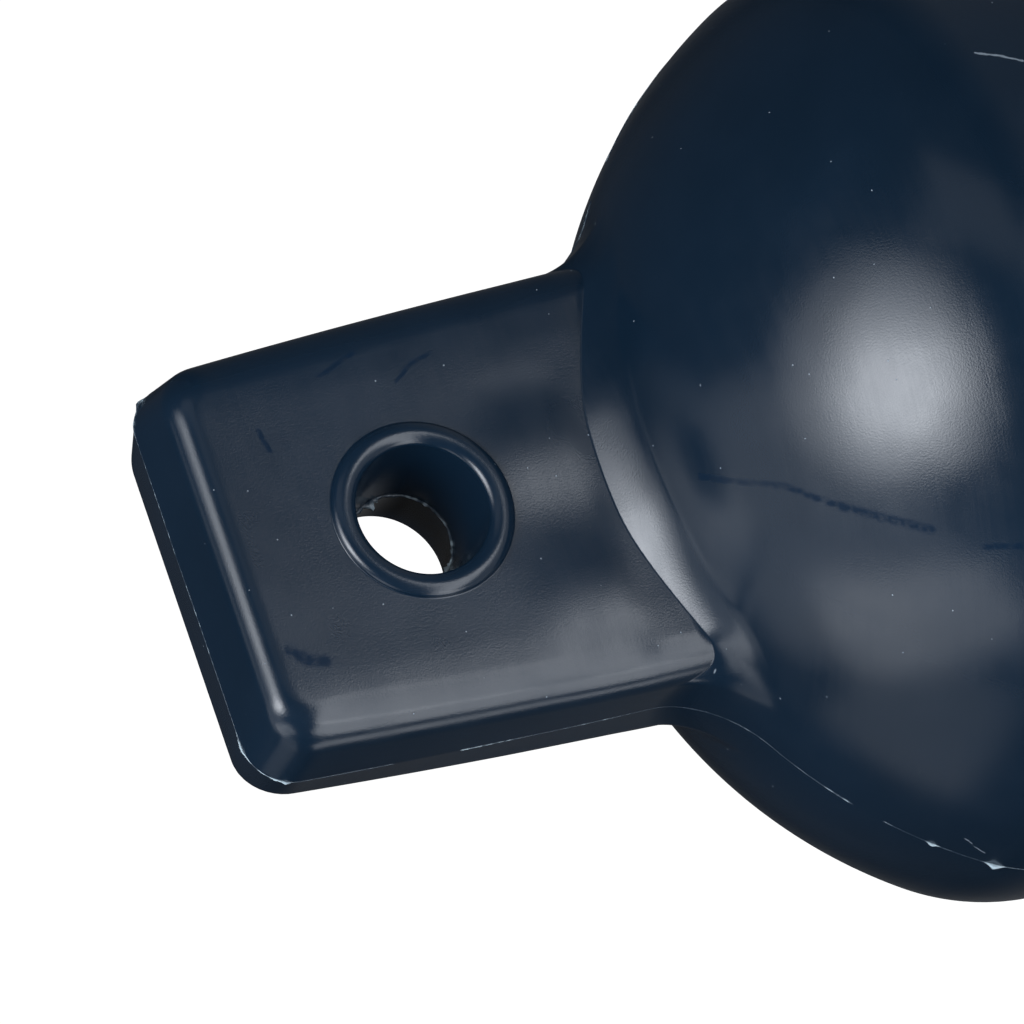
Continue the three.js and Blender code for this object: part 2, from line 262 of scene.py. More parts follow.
def end_rings(turns, cap, tab, root, crown, shoulder):
    """Places on the axis and tilts of the rings from a tab's end to the straight wall."""
    square = math.pi / 2
    cap_centre = HALF_THICKNESS - EYE_INSET
    starts = root_starts(turns)
    root_start = starts.min()
    crown_start = math.atan2(HALF_THICKNESS + ROOT_FILLET_MIDDLE / 2, CROWN_RADIUS)
    crown_first = CROWN_CENTRE - CROWN_RADIUS * math.cos(crown_start)
    tilts = toward_edges(np.arange(cap + 1) / cap * square)
    flats = cap_centre + (root_start - BEFORE_ROOT - cap_centre) * np.arange(1, tab + 1) / tab
    roots = root_start + (crown_first - root_start) * np.arange(root) / root
    crown_share = (np.arange(crown) / crown) ** CROWN_CROWDING
    crown_angles = crown_start + (SHOULDER_ANGLE - crown_start) * crown_share
    crowns = CROWN_CENTRE - CROWN_RADIUS * np.cos(crown_angles)
    shoulder_angles = SHOULDER_ANGLE + (square - SHOULDER_ANGLE) * np.arange(shoulder + 1) / shoulder
    shoulders = WALL_START - SHOULDER_RADIUS * np.cos(shoulder_angles)
    inward = np.concatenate([np.full(cap + 1, cap_centre), flats, roots, crowns, shoulders])
    tilt = np.concatenate([tilts, np.full(len(inward) - cap - 1, square)])
    follow = smooth_share(inward, EYE_INSET / 4, root_start - FOLLOW_BEFORE_ROOT)
    follow = follow * (1 - smooth_share(inward, crown_first, WALL_START))
    return inward[:, None] + follow[:, None] * (starts - root_start), tilt[:, None]


def skin_points(turns, inward, tilt):
    """Where lines from the axis leave the solid, one row of points for each ring."""
    tab_turns, sideways = tab_directions(turns)
    spread = smooth_share(inward, CROWN_TIP, WALL_START)
    around = tab_turns + (turns - tab_turns) * spread
    sideways = np.sin(tilt) * sideways
    ahead = -HALF_THICKNESS * np.cos(tilt) + np.zeros_like(around)
    direction = np.stack([ahead, sideways * np.cos(around), sideways * np.sin(around)])
    direction /= np.linalg.norm(direction, axis=0)
    reach = reaches(skin_distance, inward, direction)
    return np.stack([inward + reach * direction[0], *(reach * direction[1:])], -1)


def in_row(points, upper=True):
    """Inward, across and through turned into the row's X, Y and Z, for either end."""
    inward, across, through = np.moveaxis(points, -1, 0)
    height = -inward if upper else inward - EYE_SPACING
    return np.stack([across, through, height], -1)


def skin_grid():
    """All rings of the skin, from the upper tab's end down to the lower one's."""
    turns = np.arange(SEGMENTS) / SEGMENTS * 2 * math.pi
    shown = in_row(skin_points(turns, *end_rings(turns, *SHOWN_END_RINGS)))
    other = in_row(skin_points(turns, *end_rings(turns, *OTHER_END_RINGS)), upper=False)
    gap = np.linspace(0, 1, WALL_RINGS + 2)[1:-1, None, None]
    wall = shown[-1] + (other[-1] - shown[-1]) * gap
    return np.concatenate([shown, wall, other[::-1]])


# The fender's mesh

EYE_SEGMENTS = 128
EYE_WALL_STEPS = 12
LIP_STEPS = 20

# How far beyond the lip's foot the flat collar starts and ends, and the face is opened.
EYE_COLLAR_START = 0.0002
EYE_COLLAR_END = 0.0006
EYE_CLEARING = 0.0011

# How near a point has to be to belong to an eye and to a tab's face.
EYE_NEIGHBOURHOOD = 0.03
LEVEL_WITHIN = 1e-6


def eye_profile():
    """Radius and distance from the seam, from an eye's throat out to the foot of its lip."""
    steps = np.arange(1, EYE_WALL_STEPS + 1) / EYE_WALL_STEPS
    wall = np.stack([EYE_THROAT + (EYE_MOUTH - EYE_THROAT) * steps, HALF_THICKNESS * steps], -1)
    turn = np.arange(1, LIP_STEPS + 1) / LIP_STEPS * math.pi
    lip = np.stack([
        LIP_CREST - LIP_WIDTH / 2 * np.cos(turn),
        HALF_THICKNESS + LIP_HEIGHT * np.sin(turn),
    ], -1)
    collar = [
        [LIP_FOOT + EYE_COLLAR_START, HALF_THICKNESS],
        [LIP_FOOT + EYE_COLLAR_END, HALF_THICKNESS],
    ]
    return np.concatenate([[[EYE_THROAT, 0]], wall, lip, collar])


def add_eye(mesh, height):
    """Opens the tab's faces round an eye and sets the eye's wall and lips in."""
    clear = LIP_FOOT + EYE_CLEARING
    cut = []
    for face in mesh.faces:
        on_face = all(abs(abs(v.co.y) - HALF_THICKNESS) < LEVEL_WITHIN for v in face.verts)
        if on_face and any(math.hypot(v.co.x, v.co.z - height) < clear for v in face.verts):
            cut.append(face)
    bmesh.ops.delete(mesh, geom=cut, context="FACES")
    half = eye_profile()
    profile = np.concatenate([half[::-1] * (1, -1), half[1:]])
    turns = np.arange(EYE_SEGMENTS) / EYE_SEGMENTS * 2 * math.pi
    rows = [
        [mesh.verts.new((r * math.cos(t), y, height + r * math.sin(t))) for t in turns]
        for r, y in profile
    ]
    for near, far in zip(rows, rows[1:]):
        for i in range(EYE_SEGMENTS):
            j = (i + 1) % EYE_SEGMENTS
            mesh.faces.new((near[i], near[j], far[j], far[i]))
    mesh.edges.ensure_lookup_table()
    for side in (-1, 1):
        rim = [
            e for e in mesh.edges
            if e.is_boundary
            and all(abs(v.co.y - side * HALF_THICKNESS) < LEVEL_WITHIN for v in e.verts)
            and all(math.hypot(v.co.x, v.co.z - height) < EYE_NEIGHBOURHOOD for v in e.verts)
        ]
        bmesh.ops.triangle_fill(mesh, use_beauty=True, edges=rim, normal=(0, side, 0))


# The waves across the tab's faces: where they rise and die out along the tab and across it.
WAVE_HEIGHT = 0.00024
WAVE_LENGTH = 0.0275
WAVE_CREST = 0.0070
WAVE_START = 0.008
WAVE_FULL = 0.021
WAVE_FADE = 0.028
WAVE_END = 0.033
WAVE_SIDE_FADE = 0.010
WAVE_SIDE_END = 0.024

# How far the faces fall away toward their long edges, and where that starts and ends.
FACE_CROWN = 0.00028
CROWN_FROM = 0.024
CROWN_TO = 0.038
CROWN_FADE = 0.028
CROWN_END = 0.042

# How far from the seam points begin to move, move in full and stand still again.
FACE_EDGE_FROM = 0.004
FACE_EDGE_TO = 0.0135
FACE_BEYOND = 0.010


def wave_faces(mesh):
    """Lets the tab's flat faces sink and swell slightly, as soft vinyl does when it cools."""
    for vert in mesh.verts:
        x, y, z = vert.co
        inward = EYE_SPACING / 2 - abs(z + EYE_SPACING / 2)
        share = float(smooth_share(abs(y), FACE_EDGE_FROM, FACE_EDGE_TO))
        share *= 1 - float(smooth_share(abs(y), HALF_THICKNESS, HALF_THICKNESS + FACE_BEYOND))
        near_root = float(smooth_share(inward, WAVE_START, WAVE_FULL))
        near_root *= 1 - float(smooth_share(inward, WAVE_FADE, WAVE_END))
        near_root *= 1 - float(smooth_share(x, WAVE_SIDE_FADE, WAVE_SIDE_END))
        wave = WAVE_HEIGHT * near_root * math.cos(2 * math.pi * (x - WAVE_CREST) / WAVE_LENGTH)
        crown = FACE_CROWN * float(smooth_share(abs(x), CROWN_FROM, CROWN_TO))
        crown *= 1 - float(smooth_share(inward, CROWN_FADE, CROWN_END))
        vert.co.y += share * (wave - crown) * math.copysign(1, y)


def finished(mesh, name):
    """A smooth-shaded object of a bmesh, riding on the fender."""
    bmesh.ops.recalc_face_normals(mesh, faces=mesh.faces)
    data = bpy.data.meshes.new(name)
    mesh.to_mesh(data)
    mesh.free()
    data.shade_smooth()
    piece = bpy.data.objects.new(name, data)
    bpy.context.collection.objects.link(piece)
    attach(piece, "root")
    return piece


def make_fender(grid):
    mesh = bmesh.new()
    rows = []
    for ring in grid[1:-1]:
        rows.append([mesh.verts.new(p) for p in ring])
    tips = mesh.verts.new(grid[0, 0]), mesh.verts.new(grid[-1, 0])
    for i in range(SEGMENTS):
        j = (i + 1) % SEGMENTS
        mesh.faces.new((tips[0], rows[0][i], rows[0][j]))
        mesh.faces.new((tips[1], rows[-1][j], rows[-1][i]))
        for near, far in zip(rows, rows[1:]):
            mesh.faces.new((near[i], far[i], far[j], near[j]))
    add_eye(mesh, 0)
    add_eye(mesh, -EYE_SPACING)
    add_valve_socket(mesh)
    wave_faces(mesh)
    fender = finished(mesh, "fender_skin")
    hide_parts("fender_body")
    return fender


# Flash left by the mould, along the seam and in the eyes

FLASH_HEIGHT = 0.00013
FLASH_HALF_WIDTH = 0.00014
FLASH_ROOT = 0.00012
FLASH_STEP = 0.0006
FLASH_DRIFT = 0.00008
FLASH_BROKEN_OFF = -0.5 * FLASH_ROOT
TAB_FLASH_FROM = -0.030
END_FLASH_FROM = 0.037

# Shares of the flash's height: its middle value, how far it wanders, and what is left of it
# on the fender's right, on the upper tab and at that tab's end.
FLASH_MIDDLE = 0.75
FLASH_WANDER = 0.45
RIGHT_FLASH_SHARE = 0.8
TAB_FLASH_SHARE = 0.6
END_FLASH_SHARE = 0.5

# Over how many steps of the seam each kind of unevenness is smoothed.
FINE_STEPS = 4
LONG_STEPS = 40
TORN_STEPS = 1.2
DRIFT_STEPS = 12

# The flash's cross-section, as shares of its half width and of its height.
FLASH_SECTION = [(-1, -1), (-0.45, 0.5), (0, 1), (0.45, 0.5), (1, -1)]

# Where the flash is torn, as X and Z in the seam's plane, with its height and length there.
TORN_FLASH = [
    ((-0.0290, 0.0382), 0.00035, 0.0022),
    ((-0.0352, 0.0347), 0.00035, 0.0009),
    ((-0.0365, 0.0333), 0.00070, 0.0008),
    ((0.0345, 0.0360), 0.00055, 0.0012),
    ((0.0312, 0.0378), 0.00035, 0.0024),
    ((-0.0727, -0.0728), 0.00055, 0.0008),
    ((-0.0791, -0.0822), 0.00110, 0.0012),
]

# Where the flash broke away, as X and Z in the seam's plane, with the length that is missing.
FLASH_GAPS = [
    ((-0.0645, -0.0636), 0.0030),
    ((-0.0372, 0.0080), 0.0060),
    ((0.0380, 0.0100), 0.0080),
    ((0.0560, -0.0560), 0.0040),
    ((-0.0825, -0.2100), 0.0090),
    ((0.0825, -0.3300), 0.0120),
    ((-0.0700, -0.4380), 0.0050),
]


def smooth_noise(count, steps, seed):
    """Random values round a closed loop, smoothed over some steps, mostly between -1 and 1."""
    values = np.random.default_rng(seed).normal(size=count)
    spread = np.minimum(np.arange(count), count - np.arange(count)) / steps
    smoothed = np.fft.irfft(np.fft.rfft(values) * np.fft.rfft(np.exp(-spread**2)), count)
    return smoothed / (2 * smoothed.std())


def seam_loop(grid):
    """Points at equal steps where the mould's halves meet, once round the fender."""
    loop = np.concatenate([grid[:, 0], grid[::-1, SEGMENTS // 2][1:]])
    along = np.concatenate([[0], np.cumsum(np.linalg.norm(np.diff(loop, axis=0), axis=1))])
    places = np.arange(0, along[-1], FLASH_STEP)
    return np.stack([np.interp(places, along, loop[:, k]) for k in range(3)], -1)


def closed_band(mesh, rows):
    """Joins rows of points, each a closed cross-section, into a closed ring."""
    verts = [[mesh.verts.new(p) for p in row] for row in rows]
    for i, row in enumerate(verts):
        after = verts[(i + 1) % len(verts)]
        for k in range(len(row)):
            j = (k + 1) % len(row)
            mesh.faces.new((row[k], row[j], after[j], after[k]))


def flash_heights(points):
    """How far the flash stands out of the skin at each point of the seam."""
    count = len(points)
    uneven = FLASH_MIDDLE + FLASH_WANDER * smooth_noise(count, FINE_STEPS, seed=3)
    uneven += FLASH_WANDER * smooth_noise(count, LONG_STEPS, seed=4)
    height = np.maximum(FLASH_HEIGHT * uneven, FLASH_BROKEN_OFF)
    height[points[:, 0] > 0] *= RIGHT_FLASH_SHARE
    height[points[:, 2] > TAB_FLASH_FROM] *= TAB_FLASH_SHARE
    height[points[:, 2] > END_FLASH_FROM] *= END_FLASH_SHARE
    ragged = FLASH_MIDDLE + FLASH_WANDER * smooth_noise(count, TORN_STEPS, seed=5)
    for (x, z), tall, length in TORN_FLASH:
        away = np.hypot(points[:, 0] - x, points[:, 2] - z)
        height = np.maximum(height, tall * ragged * np.exp(-(away / length) ** 2))
    for (x, z), length in FLASH_GAPS:
        away = np.hypot(points[:, 0] - x, points[:, 2] - z)
        height = np.where(away < length, FLASH_BROKEN_OFF, height)
    return height


def make_seam_flash(grid):
    """The thin uneven ridge where the mould's halves met, rooted in the skin."""
    points = seam_loop(grid)
    count = len(points)
    drift = FLASH_DRIFT * smooth_noise(count, DRIFT_STEPS, seed=6)
    ahead = np.roll(points, -1, axis=0) - np.roll(points, 1, axis=0)
    ahead /= np.linalg.norm(ahead, axis=1)[:, None]
    outward = np.stack([-ahead[:, 2], np.zeros(count), ahead[:, 0]], -1)
    rows = []
    for point, out, tall, aside in zip(points, outward, flash_heights(points), drift):
        row = []
        for side, share in FLASH_SECTION:
            rise = -FLASH_ROOT if share < 0 else share * tall
            through = Vector((0, side * FLASH_HALF_WIDTH + aside, 0))
            row.append(Vector(point) + Vector(out) * rise + through)
        rows.append(row)
    mesh = bmesh.new()
    closed_band(mesh, rows)
    return finished(mesh, "seam_flash")


EYE_FLASH = 0.00035
EYE_FLASH_SEGMENTS = 360
EYE_FLASH_MIDDLE = 0.8
EYE_FLASH_WANDER = 0.4
EYE_FLASH_DRIFT = 0.3
EYE_FLASH_CURL = 0.25

# Over how many steps round the eye each kind of unevenness is smoothed.
EYE_TORN_STEPS = 1.5
EYE_FINE_STEPS = 3
EYE_CURL_STEPS = 8
EYE_LONG_STEPS = 25

# The eye flash's cross-section: shares of its reach and of its curl, then metres out and through.
EYE_FLASH_SECTION = [
    (0, 0, 0.0002, -0.00025),
    (0.5, 0.3, 0, -0.00010),
    (1, 1, 0, 0),
    (0.5, 0.3, 0, 0.00010),
    (0, 0, 0.0002, 0.00025),
]

# Torn flash in an eye: its angle round the eye in degrees, its length inward and its spread.
TORN_EYE_FLASH = [
    (20, 0.0018, 7),
    (11, 0.0010, 4),
    (33, 0.0009, 5),
    (-134, 0.0010, 5),
    (-127, 0.0006, 3),
]


def make_eye_flash(name, height, turned, seed):
    """The thin torn ring where the mould's two eye pins met."""
    count = EYE_FLASH_SEGMENTS
    turns = np.arange(count) / count * 2 * math.pi
    uneven = EYE_FLASH_MIDDLE + EYE_FLASH_WANDER * smooth_noise(count, EYE_FINE_STEPS, seed)
    uneven += EYE_FLASH_DRIFT * smooth_noise(count, EYE_LONG_STEPS, seed + 1)
    reach = EYE_FLASH * uneven
    ragged = EYE_FLASH_MIDDLE + EYE_FLASH_WANDER * smooth_noise(count, EYE_TORN_STEPS, seed + 2)
    for angle, length, spread in TORN_EYE_FLASH:
        away = (np.degrees(turns) - angle - turned + 180) % 360 - 180
        reach = np.maximum(reach, length * ragged * np.exp(-(away / spread) ** 2))
    curl = EYE_FLASH_CURL * reach * smooth_noise(count, EYE_CURL_STEPS, seed + 3)
    rows = []
    for turn, inward, bend in zip(turns, reach, curl):
        out = Vector((math.cos(turn), 0, math.sin(turn)))
        centre = Vector((0, 0, height))
        row = []
        for inward_share, curl_share, outward, through in EYE_FLASH_SECTION:
            radius = EYE_THROAT - inward_share * inward + outward
            row.append(centre + out * radius + Vector((0, through + curl_share * bend, 0)))
        rows.append(row)
    mesh = bmesh.new()
    closed_band(mesh, rows)
    return finished(mesh, name)


# The valve, on the lower dome in front

NEAR_SEAT = 0.02
ON_AXIS = 0.0001

# How far outside the socket's wall its rim has rings, and how high the rings on its wall are.
SOCKET_LEDGES = (0.0004, 0.0001)
SOCKET_WALL_HEIGHTS = (-0.0007, -0.0020, -VALVE_DEPTH)
SOCKET_FLOOR_INSET = 0.0001
PLUG_CHAMFER = 0.0004
FUNNEL_DEPTH = 0.0003

# The plug's top from its edge inward: how far in from its radius, and its height.
PLUG_TOP = [
    (0, -0.0009),
    (0.0002, -0.0004),
    (0.0008, 0),
    (0.0016, 0.00005),
    (0.0018, -0.0003),
    (0.0023, -0.0003),
    (0.0025, 0.00005),
]

# The funnel's mouth and middle, as shares of the needle's radius.
FUNNEL_MOUTH = 2.2
FUNNEL_MIDDLE = 1.6


def valve_place():
    """The turn and the seat of the valve, whose own Z axis points out of the dome."""
    axis = Vector((0, -math.sin(VALVE_ANGLE), -math.cos(VALVE_ANGLE)))
    seat = Vector((0, 0, CROWN_CENTRE - EYE_SPACING)) + axis * CROWN_RADIUS
    turn = axis.to_track_quat("Z", "Y").to_matrix().to_4x4()
    return Matrix.Translation(seat) @ turn


def lathe_rows(mesh, profile, count, place):
    """Rings of points for a profile of radius and height, and the faces between them."""
    turns = np.arange(count) / count * 2 * math.pi
    rows = [
        [mesh.verts.new(place @ Vector((r * math.cos(t), r * math.sin(t), z))) for t in turns]
        for r, z in profile
    ]
    for near, far in zip(rows, rows[1:]):
        for i in range(count):
            j = (i + 1) % count
            mesh.faces.new((near[i], near[j], far[j], far[i]))
    return rows


def add_valve_socket(mesh):
    """Opens the lower dome round the valve and sinks the socket that holds its plug."""
    place = valve_place()
    into_valve = place.inverted()
    radius = VALVE_RADIUS + VALVE_CLEARANCE
    cut = []
    for face in mesh.faces:
        spots = [into_valve @ v.co for v in face.verts]
        near = all(abs(p.z) < NEAR_SEAT for p in spots)
        if near and any(p.xy.length < SOCKET_RIM for p in spots):
            cut.append(face)
    bmesh.ops.delete(mesh, geom=cut, context="FACES")
    ledges = [radius + further for further in SOCKET_LEDGES]
    profile = []
    for r in (SOCKET_RIM, (SOCKET_RIM + radius) / 2, *ledges):
        profile.append((r, math.sqrt(CROWN_RADIUS**2 - r**2) - CROWN_RADIUS))
    for z in SOCKET_WALL_HEIGHTS:
        profile.append((radius, z))
    profile.append((radius - SOCKET_FLOOR_INSET, SOCKET_FLOOR))
    rows = lathe_rows(mesh, profile, VALVE_SEGMENTS, place)
    mesh.faces.new(rows[-1])
    rim = [
        e for e in mesh.edges
        if e.is_boundary and all((into_valve @ v.co).xy.length < 2 * SOCKET_RIM for v in e.verts)
    ]
    bmesh.ops.triangle_fill(mesh, use_beauty=True, edges=rim, normal=place.to_3x3().col[2])


def make_valve():
    """The plug: a flat top with a soft edge, a groove and a funnel down to the needle's hole."""
    profile = [
        (ON_AXIS, -VALVE_DEPTH),
        (VALVE_RADIUS - PLUG_CHAMFER, -VALVE_DEPTH),
        (VALVE_RADIUS, -VALVE_DEPTH + PLUG_CHAMFER),
    ]
    for inset, z in PLUG_TOP:
        profile.append((VALVE_RADIUS - inset, z))
    profile += [
        (NEEDLE_RADIUS * FUNNEL_MOUTH, 0),
        (NEEDLE_RADIUS * FUNNEL_MIDDLE, -FUNNEL_DEPTH),
        (NEEDLE_RADIUS, -NEEDLE_RADIUS),
        (NEEDLE_RADIUS, -NEEDLE_DEPTH),
        (ON_AXIS, -NEEDLE_DEPTH),
    ]
    mesh = bmesh.new()
    rows = lathe_rows(mesh, profile, VALVE_SEGMENTS, valve_place())
    mesh.faces.new(rows[0])
    mesh.faces.new(rows[-1])
    valve = finished(mesh, "valve_plug")
    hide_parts("inflation_valve")
    return valve


# Materials

# The ranges that values are mapped to, and the middle part of what a noise gives.
RISING = (0, 1)
FADING = (1, 0)
NOISE_MIDDLE = (0.3, 0.7)

# Shares of a streak's half width: up to where it is full and from where it is gone.
STREAK_FULL = 0.2
STREAK_GONE = 1.2


def new_material(name):
    material = bpy.data.materials.new(name)
    material.use_nodes = True
    tree = material.node_tree
    return material, tree, tree.nodes["Principled BSDF"]


def node(tree, kind, **settings):
    made = tree.nodes.new(kind)
    for name, value in settings.items():
        setattr(made, name, value)
    return made


def place_on_object(tree):
    return tree.nodes.new("ShaderNodeTexCoord").outputs["Object"]


def noise(tree, place, scale, detail=2, stretch=None):
    """Noise over places in metres; stretch says how much faster it changes along X, Y and Z."""
    if stretch:
        stretched = node(tree, "ShaderNodeVectorMath", operation="MULTIPLY")
        tree.links.new(place, stretched.inputs[0])
        stretched.inputs[1].default_value = stretch
        place = stretched.outputs["Vector"]
    texture = node(tree, "ShaderNodeTexNoise")
    tree.links.new(place, texture.inputs["Vector"])
    texture.inputs["Scale"].default_value = scale
    texture.inputs["Detail"].default_value = detail
    return texture.outputs["Fac"]


def remapped(tree, value, seen, wanted):
    """Goes smoothly from the first wanted number to the second while the value goes over seen."""
    remap = node(tree, "ShaderNodeMapRange", interpolation_type="SMOOTHSTEP")
    tree.links.new(value, remap.inputs["Value"])
    remap.inputs["From Min"].default_value = seen[0]
    remap.inputs["From Max"].default_value = seen[1]
    remap.inputs["To Min"].default_value = wanted[0]
    remap.inputs["To Max"].default_value = wanted[1]
    return remap.outputs["Result"]


def computed(tree, operation, a, b):
    made = node(tree, "ShaderNodeMath", operation=operation)
    for socket, value in zip(made.inputs, (a, b)):
        if isinstance(value, (int, float)):
            socket.default_value = value
        else:
            tree.links.new(value, socket)
    return made.outputs["Value"]


def tinted(tree, share, first, second):
    """A colour that goes from the first to the second as the share goes from 0 to 1."""
    mix = node(tree, "ShaderNodeMix", data_type="RGBA")
    tree.links.new(share, mix.inputs["Factor"])
    colours = [s for s in mix.inputs if s.type == "RGBA"]
    for socket, colour in zip(colours, (first, second)):
        if isinstance(colour, tuple):
            socket.default_value = (*colour, 1)
        else:
            tree.links.new(colour, socket)
    return next(s for s in mix.outputs if s.type == "RGBA")


def bumped(tree, height, distance, below=None):
    """A normal tilted by a height, on top of the normal below it if there is one."""
    bump = node(tree, "ShaderNodeBump")
    tree.links.new(height, bump.inputs["Height"])
    bump.inputs["Distance"].default_value = distance
    if below:
        tree.links.new(below, bump.inputs["Normal"])
    return bump.outputs["Normal"]


def streak(tree, place, start, end, half_width):
    """1 along the line between two places and 0 beyond its width."""
    start, end = Vector(start), Vector(end)
    span = end - start
    offset = node(tree, "ShaderNodeVectorMath", operation="SUBTRACT")
    tree.links.new(place, offset.inputs[0])
    offset.inputs[1].default_value = start
    along = node(tree, "ShaderNodeVectorMath", operation="DOT_PRODUCT")
    tree.links.new(offset.outputs["Vector"], along.inputs[0])
    along.inputs[1].default_value = span / span.length_squared
    share = node(tree, "ShaderNodeClamp")
    tree.links.new(along.outputs["Value"], share.inputs["Value"])
    nearest = node(tree, "ShaderNodeVectorMath", operation="SCALE")
    nearest.inputs[0].default_value = span
    tree.links.new(share.outputs["Result"], nearest.inputs["Scale"])
    away = node(tree, "ShaderNodeVectorMath", operation="DISTANCE")
    tree.links.new(offset.outputs["Vector"], away.inputs[0])
    tree.links.new(nearest.outputs["Vector"], away.inputs[1])
    edge = (STREAK_FULL * half_width, STREAK_GONE * half_width)
    return remapped(tree, away.outputs["Value"], edge, FADING)


def streaks(tree, place, lines):
    """The strongest of several streaks, each a row of places and a half width."""
    strongest = None
    for places, half_width in lines:
        for start, end in zip(places, places[1:]):
            here = streak(tree, place, start, end, half_width)
            strongest = here if strongest is None else computed(tree, "MAXIMUM", strongest, here)
    return strongest


# Dull marks, where something has rubbed the gloss away, and fine light scratches. Each is a row
# of places and a half width.
DULL_MARKS = [
    ([(-0.0103, -0.0312, -0.0428), (-0.0197, -0.0449, -0.0510)], 0.0009),
    ([(-0.0197, -0.0449, -0.0510), (-0.0270, -0.0503, -0.0568)], 0.0009),
    ([(-0.0270, -0.0503, -0.0568), (-0.0368, -0.0576, -0.0676)], 0.0012),
    ([(-0.0427, -0.0603, -0.0746), (-0.0448, -0.0628, -0.0795)], 0.0008),
    ([(0.0299, -0.0154, 0.0027), (0.0271, -0.0154, 0.0095)], 0.0007),
    ([(0.0269, -0.0154, -0.0106), (0.0259, -0.0154, -0.0066), (0.0233, -0.0154, -0.0031)], 0.0006),
    ([(0.0200, -0.0154, 0.0231), (0.0161, -0.0154, 0.0223)], 0.0007),
    ([(-0.0189, -0.0154, 0.0304), (-0.0214, -0.0154, 0.0277), (-0.0220, -0.0154, 0.0252)], 0.0016),
]
SCRATCHES = [
    ([(-0.0377, -0.0127, -0.0414), (-0.0389, -0.0099, -0.0411)], 0.00016),
    ([(0.0376, -0.0734, -0.0978), (0.0359, -0.0743, -0.1014), (0.0338, -0.0752, -0.1045)], 0.0003),
    ([(-0.0749, -0.0059, -0.0764), (-0.0760, -0.0047, -0.0785)], 0.00016),
    ([(-0.0755, -0.0050, -0.0770), (-0.0773, -0.0034, -0.0800)], 0.00014),
    ([(0.0024, -0.0385, -0.0449), (0.0031, -0.0387, -0.0456)], 0.00014),
]

VINYL_DEEP = (0.0037, 0.0126, 0.0262)
VINYL_PALE = (0.0047, 0.0150, 0.0310)
RUBBED_COLOUR = (0.0050, 0.0150, 0.0330)
DUST_COLOUR = (0.30, 0.36, 0.42)
VINYL_IOR = 1.5
MARK_SHAKE = 0.0006
MARK_SHAKE_SCALE = 700
DUST_SCALE = 230
DUST_EDGE = (0.020, 0.036)
SCRATCH_STRENGTH = 0.7
WORN_SCALE = 700
WORN_NOISE = (0.30, 0.6)
WORN_STRENGTH = (0.35, 0.85)
TONE_SCALE = 30
HAZE_SCALE = 120
HAZE_NOISE = (0.35, 0.7)
HAZE = (0.185, 0.235)
TURNING_STRETCH = (25, 25, 2200)
TURNING_NOISE = (0.35, 0.65)
TURNING_HAZE = (-0.012, 0.012)
TURNING_HEIGHT = 0.0000035
GLOSS_WHERE_RUBBED = (0.5, 0.08)
SWELL_SCALE = 65
SWELL_HEIGHT = 0.00006
GRAIN_SCALE = 3200
GRAIN_HEIGHT = 0.000016
DUST_HEIGHT = 0.00004


def shaken_place(tree, place):
    """Places moved a little to and fro, so that the lines drawn over them are ragged."""
    wander = node(tree, "ShaderNodeTexNoise")
    tree.links.new(place, wander.inputs["Vector"])
    wander.inputs["Scale"].default_value = MARK_SHAKE_SCALE
    shift = node(tree, "ShaderNodeVectorMath", operation="MULTIPLY_ADD")
    tree.links.new(wander.outputs["Color"], shift.inputs[0])
    shift.inputs[1].default_value = (MARK_SHAKE, MARK_SHAKE, MARK_SHAKE)
    tree.links.new(place, shift.inputs[2])
    centred = node(tree, "ShaderNodeVectorMath", operation="SUBTRACT")
    tree.links.new(shift.outputs["Vector"], centred.inputs[0])
    centred.inputs[1].default_value = (MARK_SHAKE / 2, MARK_SHAKE / 2, MARK_SHAKE / 2)
    return centred.outputs["Vector"]


def dust_specks(tree, place):
    cells = node(tree, "ShaderNodeTexVoronoi")
    tree.links.new(place, cells.inputs["Vector"])
    cells.inputs["Scale"].default_value = DUST_SCALE
    return remapped(tree, cells.outputs["Distance"], DUST_EDGE, FADING)


